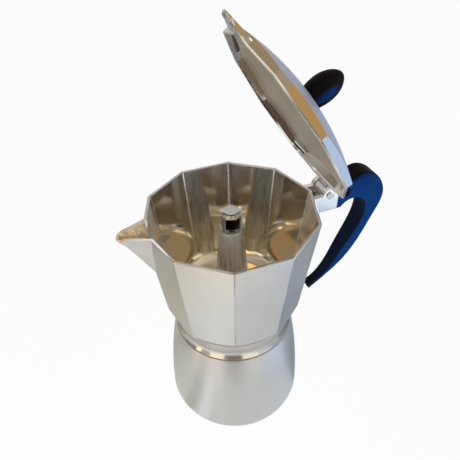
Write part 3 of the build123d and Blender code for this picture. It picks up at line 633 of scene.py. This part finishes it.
class POT_OT_jug(PieceOperator, bpy.types.Operator):
    """Rounds the jug's edges and gives it satin outside and polish inside"""
    bl_idname = "pot.jug"
    bl_label = "Jug"

    def execute(self, context):
        values = context.scene.pot_finishes
        shape = copied("jug")
        corners = edges_over(shape, CORNER_SHARPNESS, lambda e: e.calc_length() > CORNER_LENGTH)
        rim = edges_over(shape, RIM_SHARPNESS, lambda e: middle_of(e).z > RIM_Z - RIM_ROOM
                         and e.calc_length() > RIM_LENGTH)
        rounded(shape, corners + rim, values.facet_edge)
        finishes = ["jug_satin", "jug_polished", "band_polished", "lug_polished", "spout_cast",
                    "corner_bright"]
        for face in shape.faces:
            face.material_index = finishes.index(self.zone(face))
        link_piece(mesh_of(shape, "jug_shell"), "jug_shell", "jug", ["jug"], finishes)
        return {"FINISHED"}

    def zone(self, face):
        """The finish of a face: lugs, foot band, outside, spout, inner corners or inside."""
        place = face.calc_center_median()
        if place.x > LUG_FROM_X and abs(place.y) < LUG_HALF_WIDTH and place.z > LUG_FROM_Z:
            return "lug_polished"
        if place.z < BAND_TOP_Z:
            return "band_polished"
        if face.normal.z <= BOWL_SLOPE or place.z <= BOWL_FROM_Z:
            return "jug_satin"
        if place.x < SPOUT_FROM_X:
            return "spout_cast"
        slim = face.calc_area() < FACET_AREA and max(e.calc_length() for e in face.edges) > CORNER_LENGTH
        return "corner_bright" if slim else "jug_polished"


class POT_OT_lid(PieceOperator, bpy.types.Operator):
    """Rounds the lid's edges and sets its dome apart from its polished skirt"""
    bl_idname = "pot.lid"
    bl_label = "Lid"

    def execute(self, context):
        values = context.scene.pot_finishes
        shape = copied("lid")
        low = min(shut(v.co).z for v in shape.verts if shut(v.co).x < LID_BACK_X)
        self.lip(shape, low, values.lip_edge)
        long = edges_over(shape, LID_SHARPNESS, lambda e: e.calc_length() > LID_LENGTH
                          and middle_of(e).x < LID_BACK_X)
        rounded(shape, long, values.facet_edge * LID_ROUNDING)
        finishes = ["dome_satin", "lid_polished", "lid_inside", "lip_bright", "lid_facets"]
        lip_top = low + LIP_REACH * values.lip_edge
        for face in shape.faces:
            place, normal = shut(face.calc_center_median()), CLOSING @ face.normal
            face.material_index = finishes.index(self.zone(place, normal, lip_top))
        link_piece(mesh_of(shape, "lid_shell"), "lid_shell", "lid", ["lid"], finishes)
        return {"FINISHED"}

    def lip(self, shape, low, height):
        """Slants the lowest strip of the skirt inwards."""
        bmesh.ops.bisect_plane(shape, geom=[*shape.verts, *shape.edges, *shape.faces], dist=MERGE_DISTANCE,
                               plane_co=swung(Vector((0, 0, low + height))), plane_no=OPENING @ UP)
        for vert in shape.verts:
            place = shut(vert.co)
            if abs(place.z - low) < LIP_ROOM and place.x < LID_BACK_X:
                outward = Vector((place.x, place.y, 0)).normalized()
                if any((CLOSING @ face.normal).dot(outward) > LIP_OUTWARD for face in vert.link_faces):
                    vert.co = swung(place - outward * height * LIP_SLANT)

    def zone(self, place, normal, lip_top):
        """The finish of a face of the shut lid: dome, inside, lip and hinge end, skirt or inner facets."""
        outward = normal.dot(Vector((place.x, place.y, 0)).normalized())
        if normal.z > DOME_SLOPE:
            return "dome_satin"
        if place.x < BEAK_TIP_X:
            return "lid_inside"
        if place.x > LID_BACK_X or (place.z < lip_top and outward > INWARD):
            return "lip_bright"
        if outward > SKIRT_OUTWARD:
            return "lid_polished"
        return "lid_inside" if normal.z < UNDERSIDE_SLOPE or place.x < SPOUT_FROM_X else "lid_facets"


class POT_OT_column(PieceOperator, bpy.types.Operator):
    """Rounds the column's and its cap's edges and colours their insides near black"""
    bl_idname = "pot.column"
    bl_label = "Column"

    def execute(self, context):
        edge = context.scene.pot_finishes.facet_edge * TUBE_ROUNDING
        for node, outside in (("column", "column_drawn"), ("column_cap", "cap_steel")):
            finishes = [outside, "coffee_stain"]
            shape = copied(node)
            rounded(shape, edges_over(shape, TUBE_SHARPNESS), edge, clamp=True)
            for face in shape.faces:
                place = face.calc_center_median()
                outward = Vector((place.x, place.y, 0))
                radius = outward.length
                # Faces turned to the axis, and the cap's bore below its top, take the near-black colour
                inside = outward.dot(face.normal) < INWARD * radius or radius < CAP_BORE_RADIUS
                if inside and (node == "column" or face.normal.z < TOP_SLOPE):
                    face.material_index = finishes.index("coffee_stain")
            link_piece(mesh_of(shape, node + "_tube"), node + "_tube", "jug", [node], finishes)
        return {"FINISHED"}


class POT_OT_handle(PieceOperator, bpy.types.Operator):
    """Shades the handle smoothly and gives it blue flanks with painted shade on its back and inner channel
    """
    bl_idname = "pot.handle"
    bl_label = "Handle"

    def execute(self, context):
        mesh = mesh_of(copied("handle"), "handle_grip", GRIP_SMOOTH)
        weighted(link_piece(mesh, "handle_grip", "jug", ["handle"], ["handle_two_tone"]))
        return {"FINISHED"}


class POT_OT_carried(PieceOperator, bpy.types.Operator):
    """Gives the pieces that keep their CAD shape their finishes"""
    bl_idname = "pot.carried"
    bl_label = "Other pieces"

    def execute(self, context):
        finishes = {
            "boiler": "boiler_satin",
            "funnel": "basket_aluminium", "funnel_screen": "basket_aluminium",
            "filter_plate": "basket_aluminium", "gasket": "gasket_rubber", "valve_washer": "gasket_rubber",
            "valve_body": "valve_brass", "valve_cap": "valve_brass", "valve_plunger": "valve_brass",
            "valve_spring": "pin_steel", "hinge_pin": "pin_steel", "handle_screw": "pin_steel",
            "knob_washer": "pin_steel", "knob_screw": "pin_steel", "knob": "knob_two_tone",
            "knob_collar": "spine_black",
        }
        for node, name in finishes.items():
            mesh = frame["nodes"][node].data
            mesh.materials.clear()
            mesh.materials.append(finish(name))
        return {"FINISHED"}


# Heights of the cards overhead and of the papers on the floor, and half the width of a bulb
CEILING_Z, HUNG_Z, BULB_Z = 0.95, 0.94, 0.93
PAPER_Z, TOP_PAPER_Z = 1.0 * MM, 1.5 * MM
BULB_REACH = 0.05

# The floor: its height, half its width, its colour and how far it is plain white to the camera and in metal
FLOOR_Z = -0.02 * MM
FLOOR_REACH = 6.0
FLOOR_COLOUR = (0.86, 0.86, 0.85, 1)
CAMERA_WHITE, MIRROR_WHITE = 0.96, 0.05

# The spot into the jug: its cone in degrees and the soft share of its edge
BOWL_CONE, BOWL_SOFTNESS = 11, 0.3

# The camera: its place, its angles in degrees and its lens
CAMERA_PLACE = Vector((-73.1, -209.2, 351.5)) * MM
CAMERA_TURN, CAMERA_TILT, CAMERA_ROLL = -17.90, 40.23, -2.17
SENSOR_WIDTH, FOCAL_LENGTH, LENS_SHIFT = 36.0, 35.45, 0.0152


def lamp(name, place, target, size, power, colour, kind="AREA"):
    """A soft square lamp or a spot turned to a point."""
    data = bpy.data.lights.new(name, kind)
    setattr(data, "size" if kind == "AREA" else "shadow_soft_size", size)
    data.energy, data.color = power, colour
    light = bpy.data.objects.new(name, data)
    light.location = place
    light.rotation_euler = (Vector(target) - Vector(place)).to_track_quat("-Z", "Y").to_euler()
    bpy.context.scene.collection.objects.link(light)
    return light


def card(name, corners, colour):
    """A glowing studio card that only the metal sees."""
    shape = bmesh.new()
    shape.faces.new([shape.verts.new(corner) for corner in corners])
    mesh = bpy.data.meshes.new(name)
    shape.to_mesh(mesh)
    shape.free()
    material, *_ = new_material(name, Base_Color=(0, 0, 0, 1), Roughness=0.9, Specular_IOR_Level=0.0,
                                Emission_Color=(*colour, 1), Emission_Strength=1.0)
    mesh.materials.append(material)
    piece = bpy.data.objects.new(name, mesh)
    bpy.context.scene.collection.objects.link(piece)
    piece.visible_camera = False
    piece.visible_shadow = False
    piece.visible_diffuse = False


def level_card(name, low, high, z, colour):
    """A card lying level between two corners."""
    (left, front), (right, back) = low, high
    card(name, [(left, front, z), (right, front, z), (right, back, z), (left, back, z)], colour)


def wall_card(name, start, end, heights, colour):
    """A card standing between two points of the floor."""
    low, high = heights
    card(name, [(*start, low), (*end, low), (*end, high), (*start, high)], colour)


def sector_card(name, angles, radii, colour):
    """A card on the floor between two angles in degrees and two distances round the pot."""
    (first, last), (near, far) = angles, radii
    places = [(near, first), (far, first), (far, last), (near, last)]
    card(name, [(r * cos(radians(a)), r * sin(radians(a)), TOP_PAPER_Z) for r, a in places], colour)


def mirrored(tree, path):
    """Whether a ray is one that metal or glass sends on."""
    return maths(tree, "MAXIMUM", path.outputs["Is Glossy Ray"], path.outputs["Is Transmission Ray"])


def floor_material():
    """Pale floor that looks white to the camera and still takes the pot's soft shadow."""
    material = bpy.data.materials.new("studio_floor")
    material.use_nodes = True
    tree = material.node_tree
    tree.nodes.clear()
    end = add_node(tree, "ShaderNodeOutputMaterial")
    paper = add_node(tree, "ShaderNodeBsdfDiffuse", Color=FLOOR_COLOUR)
    glow = add_node(tree, "ShaderNodeEmission", Color=(1, 1, 1, 1), Strength=1.0)
    path = add_node(tree, "ShaderNodeLightPath")
    seen = maths(tree, "MULTIPLY", path.outputs["Is Camera Ray"], CAMERA_WHITE)
    shine = maths(tree, "MULTIPLY", mirrored(tree, path), MIRROR_WHITE)
    mix = add_node(tree, "ShaderNodeMixShader")
    wire(tree, maths(tree, "ADD", seen, shine), mix.inputs[0])
    wire(tree, paper.outputs[0], mix.inputs[1])
    wire(tree, glow.outputs[0], mix.inputs[2])
    wire(tree, mix.outputs[0], end.inputs[0])
    return material


class POT_OT_stage(bpy.types.Operator):
    """Makes the floor, the lamps, the cards and the camera"""
    bl_idname = "pot.stage"
    bl_label = "Stage"

    def execute(self, context):
        scene = context.scene
        self.floor(scene)
        self.lamps(scene.stage_light)
        self.cards()
        self.floor_cards()
        self.world(scene, scene.stage_light.room)
        self.camera(scene)
        scene.view_settings.view_transform = "Standard"
        return {"FINISHED"}

    def floor(self, scene):
        """A wide floor just under the pot's base."""
        shape = bmesh.new()
        bmesh.ops.create_grid(shape, x_segments=1, y_segments=1, size=FLOOR_REACH)
        mesh = bpy.data.meshes.new("floor")
        shape.to_mesh(mesh)
        shape.free()
        mesh.materials.append(floor_material())
        floor = bpy.data.objects.new("floor", mesh)
        floor.location.z = FLOOR_Z
        scene.collection.objects.link(floor)

    def lamps(self, light):
        """A soft key and a cool fill from the front, and a warm spot into the jug."""
        key = lamp("key", place=(-0.25, -0.22, 0.33), target=(-0.1, -0.08, 0), size=0.2,
                   power=light.key, colour=(1.0, 0.98, 0.95))
        key.visible_glossy = False
        lamp("cool_fill", place=(0.55, -0.45, 0.12), target=(0.05, 0, 0.12), size=0.3,
             power=light.cool, colour=(0.45, 0.68, 1.0))
        bowl = lamp("bowl", place=(-0.02, -0.35, 0.7), target=(0, -0.01, 0.15), size=0.05,
                    power=light.bowl, colour=(1.0, 0.88, 0.68), kind="SPOT")
        bowl.data.spot_size, bowl.data.spot_blend = radians(BOWL_CONE), BOWL_SOFTNESS
        bowl.visible_glossy = False

    def cards(self):
        """Panels round the pot that give the metal something to reflect."""
        level_card("gold_overhead", (-0.38, 0.18), (-0.08, 0.48), HUNG_Z, (0.36, 0.27, 0.16))
        level_card("lamp_glow", (-0.65, -0.5), (-0.3, -0.2), HUNG_Z, (1.3, 0.95, 0.52))
        for place, (x, y) in enumerate(((0.16, -0.5), (0.32, -0.28))):
            low, high = (x - BULB_REACH, y - BULB_REACH), (x + BULB_REACH, y + BULB_REACH)
            level_card(f"warm_bulb_{place}", low, high, BULB_Z, (4.2, 3.1, 1.7))
        level_card("grey_overhead", (-0.8, 0.0), (0.8, 0.8), CEILING_Z, (0.42, 0.42, 0.44))
        level_card("warm_overhead", (-0.8, -0.9), (0.8, 0.0), CEILING_Z, (0.40, 0.33, 0.24))
        wall_card("warm_front", (-0.6, -0.9), (0.8, -0.9), (0.5, CEILING_Z), (0.50, 0.31, 0.12))
        wall_card("dark_front_left", (-0.66, -0.89), (-0.42, -0.89), (0.45, 0.8), (0.11, 0.072, 0.056))
        wall_card("grey_back", (-1.2, 0.9), (1.0, 0.9), (0, CEILING_Z), (0.58, 0.53, 0.46))
        wall_card("cream_left", (-0.7, -0.35), (-0.7, 0.35), (0.22, CEILING_Z), (1.0, 0.93, 0.76))
        wall_card("grey_left", (-0.7, 0.35), (-0.7, 0.95), (0.22, CEILING_Z), (0.32, 0.30, 0.26))
        wall_card("dark_left", (-0.69, -0.06), (-0.69, 0.2), (0.62, 0.92), (0.03, 0.03, 0.03))
        wall_card("black_left", (-0.68, -0.02), (-0.68, 0.4), (0.31, 0.75), (0.035, 0.034, 0.034))
        wall_card("brown_left", (-0.7, -0.9), (-0.7, -0.35), (0, 0.5), (0.20, 0.15, 0.11))
        wall_card("brown_front", (-0.7, -0.6), (-0.45, -0.6), (0.1, 0.48), (0.12, 0.075, 0.06))
        wall_card("dark_front", (-0.45, -0.6), (-0.05, -0.6), (0.05, 0.40), (0.03, 0.03, 0.035))
        wall_card("lilac_right", (0.75, -0.1), (0.75, 1.2), (0, CEILING_Z), (0.46, 0.47, 0.54))
        level_card("brown_floor", (-0.3, -0.9), (0.045, -0.29), PAPER_Z, (0.10, 0.07, 0.05))
        level_card("white_floor", (0.12, -0.27), (0.45, -0.15), PAPER_Z, (0.92, 1.02, 1.12))
        level_card("blue_floor", (0.05, -0.7), (0.6, -0.27), PAPER_Z, (0.52, 0.68, 0.98))
        level_card("brown_paper", (0.045, -0.43), (0.105, -0.28), TOP_PAPER_Z, (0.19, 0.142, 0.10))
        level_card("lilac_floor", (0.28, 0.2), (1.3, 1.2), PAPER_Z, (0.45, 0.48, 0.60))
        level_card("beige_floor", (-0.3, 0.18), (0.2, 0.8), PAPER_Z, (0.33, 0.30, 0.235))

    def floor_cards(self):
        """Light and dark papers round the foot, seen in the boiler, the jug's facets and its band."""
        near, middle, far = (0.055, 0.125), (0.08, 0.2), (0.172, 0.28)
        sector_card("grey_near_right", (-28, 25), (0.06, 0.17), (0.24, 0.26, 0.30))
        sector_card("beige_near_left", (125, 160), middle, (0.50, 0.47, 0.37))
        sector_card("white_near_left", (180, 190), near, (0.66, 0.65, 0.58))
        sector_card("grey_near_left", (193, 206), near, (0.50, 0.50, 0.46))
        sector_card("bright_near_left", (212, 224), near, (0.82, 0.85, 0.88))
        sector_card("brown_far_left", (158, 189), far, (0.16, 0.12, 0.09))
        sector_card("gold_far_left", (190, 198), far, (1.6, 1.45, 1.0))
        sector_card("grey_far_left", (198, 213), far, (0.38, 0.33, 0.29))
        sector_card("cream_far_left", (213, 235), far, (1.25, 1.08, 0.76))
        sector_card("brown_far_front", (236, 263), far, (0.20, 0.15, 0.14))
        sector_card("cream_far_front", (264, 289), far, (1.1, 1.02, 0.88))
        sector_card("white_far_front", (289, 312), far, (0.66, 0.72, 0.82))
        sector_card("lilac_far_right", (312, 332), far, (0.36, 0.40, 0.54))

    def world(self, scene, strength):
        """A room that is white to the camera and in the metal, and lights the pot evenly."""
        world = bpy.data.worlds.new("studio")
        scene.world = world
        world.use_nodes = True
        tree = world.node_tree
        sky = tree.nodes["Background"]
        sky.inputs["Color"].default_value = (1.0, 1.0, 1.0, 1)
        sky.inputs["Strength"].default_value = strength
        bright = add_node(tree, "ShaderNodeBackground", Color=(1, 1, 1, 1), Strength=1.0)
        path = add_node(tree, "ShaderNodeLightPath")
        seen = maths(tree, "MAXIMUM", path.outputs["Is Camera Ray"], mirrored(tree, path))
        mix = add_node(tree, "ShaderNodeMixShader")
        wire(tree, seen, mix.inputs[0])
        wire(tree, sky.outputs[0], mix.inputs[1])
        wire(tree, bright.outputs[0], mix.inputs[2])
        wire(tree, mix.outputs[0], tree.nodes["World Output"].inputs["Surface"])

    def camera(self, scene):
        """The camera, looking down into the open jug from the front."""
        data = bpy.data.cameras.new("camera")
        data.sensor_width = SENSOR_WIDTH
        data.lens = FOCAL_LENGTH
        data.shift_x = LENS_SHIFT
        camera = bpy.data.objects.new("camera", data)
        turn, tilt, roll = radians(CAMERA_TURN), radians(CAMERA_TILT), radians(CAMERA_ROLL)
        back = Vector((sin(turn) * cos(tilt), -cos(turn) * cos(tilt), sin(tilt)))
        right = Vector((cos(turn), sin(turn), 0))
        top = back.cross(right)
        right, top = right * cos(roll) + top * sin(roll), top * cos(roll) - right * sin(roll)
        axes = Matrix((right, top, back)).transposed()
        camera.matrix_world = Matrix.Translation(CAMERA_PLACE) @ axes.to_4x4()
        scene.collection.objects.link(camera)
        scene.camera = camera


class VIEW3D_PT_pot(bpy.types.Panel):
    """Lists the pot's pieces and the values that change them"""
    bl_label = "Coffee pot"
    bl_space_type = "VIEW_3D"
    bl_region_type = "UI"
    bl_category = "Coffee pot"

    def draw(self, context):
        for operator in OPERATORS:
            self.layout.operator(operator.bl_idname)
        for group in (context.scene.pot_colours, context.scene.pot_finishes, context.scene.stage_light):
            for name in group.__annotations__:
                self.layout.prop(group, name)


OPERATORS = (POT_OT_carried, POT_OT_jug, POT_OT_lid, POT_OT_column, POT_OT_handle, POT_OT_stage)
SETTINGS = {"pot_colours": PotColours, "pot_finishes": PotFinishes, "stage_light": StageLight}
CLASSES = (*SETTINGS.values(), *OPERATORS, VIEW3D_PT_pot)


def register():
    """Adds the pot's settings, operators and panel."""
    for each in CLASSES:
        bpy.utils.register_class(each)
    for name, group in SETTINGS.items():
        setattr(bpy.types.Scene, name, PointerProperty(type=group))


def unregister():
    """Takes the pot's settings, operators and panel away again."""
    for name in SETTINGS:
        delattr(bpy.types.Scene, name)
    for each in reversed(CLASSES):
        bpy.utils.unregister_class(each)


def main():
    """Dresses the whole frame."""
    register()
    for operator in OPERATORS:
        section, name = operator.bl_idname.split(".")
        getattr(getattr(bpy.ops, section), name)()


if __name__ == "__main__":
    main()
